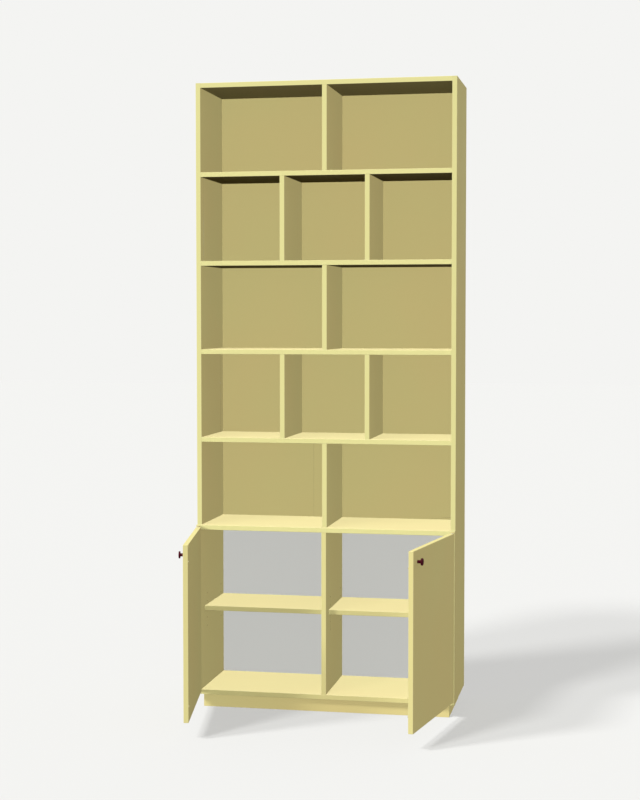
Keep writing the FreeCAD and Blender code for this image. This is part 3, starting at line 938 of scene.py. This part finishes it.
class BOOKCASE_OT_shelf_pins(BookcaseStep, bpy.types.Operator):
    """Pins under the loose shelves"""
    bl_idname = "bookcase.shelf_pins"
    bl_label = "Shelf pins"

    def build(self, settings):
        for side in SIDES:
            dress(f"shelf_pins_{side}", bright_zinc())


# ---- Stage ----

# The camera's place, and the way it looks in radians: turned left of +Y and tilted down.
CAMERA_PLACE = Vector((1.16130, -6.15093, 1.51073))
CAMERA_TURN = 0.1943
CAMERA_TILT = -0.05157
CAMERA_ROLL = -0.00032
IMAGE_HEIGHT = 800
FOCAL_PIXELS = 1611.36      # focal length in pixels of an image of that height
SENSOR = 36.0               # millimetres, as the lens is given

FLOOR_NAME = "studio_floor"
FLOOR_REACH = 60.0          # metres across
FLOOR_CELLS = 4

# What a black flag can keep a lamp off: whole bodies, or the pieces whose names start so.
DOORS = ("door_left", "door_right")
RIGHT_OUTSIDE = ("upper_side_right", "base_side_right", "door_right")
SHELVES = ("upper_shelf", "base_top", "base_floor", "cabinet_shelf")


class Lamp(NamedTuple):
    """A lamp's angle left of the front and over the floor in degrees, its strength, what flags keep
    it off, and the only pieces that they let it reach."""
    azimuth: float
    elevation: float
    strength: float
    kept_off: tuple = ()
    only: tuple = ()


# The shelves have low keys of their own, and one lamp in place of most others, so that shadows
# fall on their fronts and their tops are even. The strengths were fitted with Cycles' light tree
# on, whose light on the shelves' fronts varies slightly from run to run. Off, they are brighter.
KEYS = {
    "key_wide": Lamp(52, 41.3, 0.33, SHELVES),
    "key_near": Lamp(32, 44, 0.285, SHELVES),
    "key_shelves_wide": Lamp(52, 11, 0.32, only=SHELVES),
    "key_shelves_near": Lamp(32, 11, 0.265, only=SHELVES),
}
FILLS = {
    "fill_front": Lamp(0, 0, 0.068),
    "fill_left": Lamp(60, 0, 0.58, SHELVES),
    "fill_right": Lamp(-60, 0, 0.413, SHELVES),
    "fill_inner_right": Lamp(-60, 0, 0.068, RIGHT_OUTSIDE),
    "fill_rear": Lamp(180, 0, 0.50, DOORS),
    "fill_top": Lamp(0, 90, 0.717, SHELVES),
    "fill_shelves": Lamp(0, 64.7, 1.1615, only=SHELVES),
    "fill_low": Lamp(0, -90, 0.058),
}


def towards(azimuth, elevation):
    """The way to a lamp that stands left of the front and over the floor by those angles."""
    level = math.cos(elevation)
    return Vector((-math.sin(azimuth) * level, -math.cos(azimuth) * level, math.sin(elevation)))


def add_lamp(name, lamp, power):
    """A lamp so far off that its light is even; strength 1 lights a face it meets square as written."""
    light = bpy.data.lights.new(name, "SUN")
    light.energy = lamp.strength * power * math.pi
    light.angle = 0.0
    light.use_shadow = False
    light.cycles.max_bounces = 0
    holder = bpy.data.objects.new(name, light)
    holder.rotation_mode = "QUATERNION"
    way = towards(math.radians(lamp.azimuth), math.radians(lamp.elevation))
    holder.rotation_quaternion = way.to_track_quat("Z", "Y")
    bpy.context.scene.collection.objects.link(holder)
    return holder


def flag(holder, names, state):
    """Keep a lamp off the named bodies and pieces (EXCLUDE), or off all but those (INCLUDE)."""
    group = bpy.data.collections.new(f"{holder.name}_flags")
    for name in names:
        if name in BODIES:
            pieces = frame["bodies"][name].children_recursive
        else:
            meshes = [piece for piece in bpy.data.objects if piece.type == "MESH"]
            pieces = [piece for piece in meshes if piece.name.startswith(name)]
        for piece in pieces:
            if piece.name not in group.objects:
                group.objects.link(piece)
    for member in group.collection_objects:
        member.light_linking.link_state = state
    holder.light_linking.receiver_collection = group


def add_lamps(stage):
    for name, lamp in {**KEYS, **FILLS}.items():
        strength = stage.fill_strength if name in FILLS else stage.key_strength
        holder = add_lamp(name, lamp, strength)
        if name in KEYS:
            holder.data.angle = stage.key_softness
            holder.data.use_shadow = True
        if lamp.kept_off:
            flag(holder, lamp.kept_off, "EXCLUDE")
        if lamp.only:
            flag(holder, lamp.only, "INCLUDE")


def backdrop_world(stage):
    """The backdrop where the camera or a reflection sees it, and a soft even light elsewhere."""
    world = bpy.data.worlds.new("Studio")
    bpy.context.scene.world = world
    world.use_nodes = True
    tree = world.node_tree
    tree.nodes.clear()
    rays = add(tree, "ShaderNodeLightPath").outputs
    seen = maths(tree, "MAXIMUM", rays["Is Camera Ray"], rays["Is Glossy Ray"])
    seen = maths(tree, "MAXIMUM", seen, rays["Is Transmission Ray"])
    light = add(tree, "ShaderNodeBackground", {"Color": (1, 1, 1, 1), "Strength": stage.ambient})
    shown = add(tree, "ShaderNodeBackground", {"Color": opaque(stage.backdrop), "Strength": 1.0})
    both = add(tree, "ShaderNodeMixShader", {0: seen, 1: light.outputs[0], 2: shown.outputs[0]})
    add(tree, "ShaderNodeOutputWorld", {"Surface": both.outputs[0]})


def add_floor(stage):
    form = bmesh.new()
    bmesh.ops.create_grid(form, x_segments=FLOOR_CELLS, y_segments=FLOOR_CELLS, size=FLOOR_REACH / 2)
    floor = bpy.data.objects.new(FLOOR_NAME, mesh_from(form, FLOOR_NAME))
    bpy.context.scene.collection.objects.link(floor)
    material = bpy.data.materials.new("Studio floor")
    material.use_nodes = True
    tree = material.node_tree
    tree.nodes.clear()
    matt = add(tree, "ShaderNodeBsdfDiffuse", {"Color": opaque(stage.floor)})
    add(tree, "ShaderNodeOutputMaterial", {"Surface": matt.outputs[0]})
    floor.data.materials.append(material)


class BOOKCASE_OT_stage(BookcaseStep, bpy.types.Operator):
    """Camera, pale floor and backdrop, and soft lamps"""
    bl_idname = "bookcase.stage"
    bl_label = "Stage"

    def build(self, settings):
        stage = settings.stage
        scene = bpy.context.scene
        scene.view_settings.view_transform = "Standard"
        lens = bpy.data.cameras.new("camera")
        lens.sensor_width = SENSOR
        lens.lens = FOCAL_PIXELS / IMAGE_HEIGHT * SENSOR
        lens.clip_end = 2 * FLOOR_REACH
        camera = bpy.data.objects.new("camera", lens)
        scene.collection.objects.link(camera)
        look = Matrix.Rotation(CAMERA_TURN, 3, "Z") @ Matrix.Rotation(math.pi / 2 + CAMERA_TILT, 3, "X")
        look = look @ Matrix.Rotation(CAMERA_ROLL, 3, "Z")
        camera.matrix_world = Matrix.Translation(CAMERA_PLACE) @ look.to_4x4()
        scene.camera = camera
        backdrop_world(stage)
        add_floor(stage)
        add_lamps(stage)


STEPS = (
    BOOKCASE_OT_boards,
    BOOKCASE_OT_back_panels,
    BOOKCASE_OT_doors,
    BOOKCASE_OT_knobs,
    BOOKCASE_OT_hinges,
    BOOKCASE_OT_catches,
    BOOKCASE_OT_screws,
    BOOKCASE_OT_dowels,
    BOOKCASE_OT_shelf_pins,
    BOOKCASE_OT_stage,
)


class BOOKCASE_PT_steps(bpy.types.Panel):
    """The pieces of the bookcase, in the order they are made"""
    bl_idname = "BOOKCASE_PT_steps"
    bl_label = "Bookcase"
    bl_space_type = "VIEW_3D"
    bl_region_type = "UI"
    bl_category = "Bookcase"

    def draw(self, context):
        settings = context.scene.bookcase
        for step in STEPS:
            self.layout.operator(step.bl_idname)
        for group in (settings.finish, settings.knob, settings.fixings, settings.stage):
            box = self.layout.box()
            for name in group.__annotations__:
                box.prop(group, name)


GROUPS = (BookcaseFinish, BookcaseKnob, BookcaseFixings, BookcaseStage, BookcaseSettings)


def register():
    for kind in (*GROUPS, *STEPS, BOOKCASE_PT_steps):
        bpy.utils.register_class(kind)
    bpy.types.Scene.bookcase = PointerProperty(type=BookcaseSettings)


def unregister():
    del bpy.types.Scene.bookcase
    for kind in reversed((*GROUPS, *STEPS, BOOKCASE_PT_steps)):
        bpy.utils.unregister_class(kind)


def main():
    register()
    for step in STEPS:
        family, call = step.bl_idname.split(".")
        getattr(getattr(bpy.ops, family), call)()


if __name__ == "__main__":
    main()
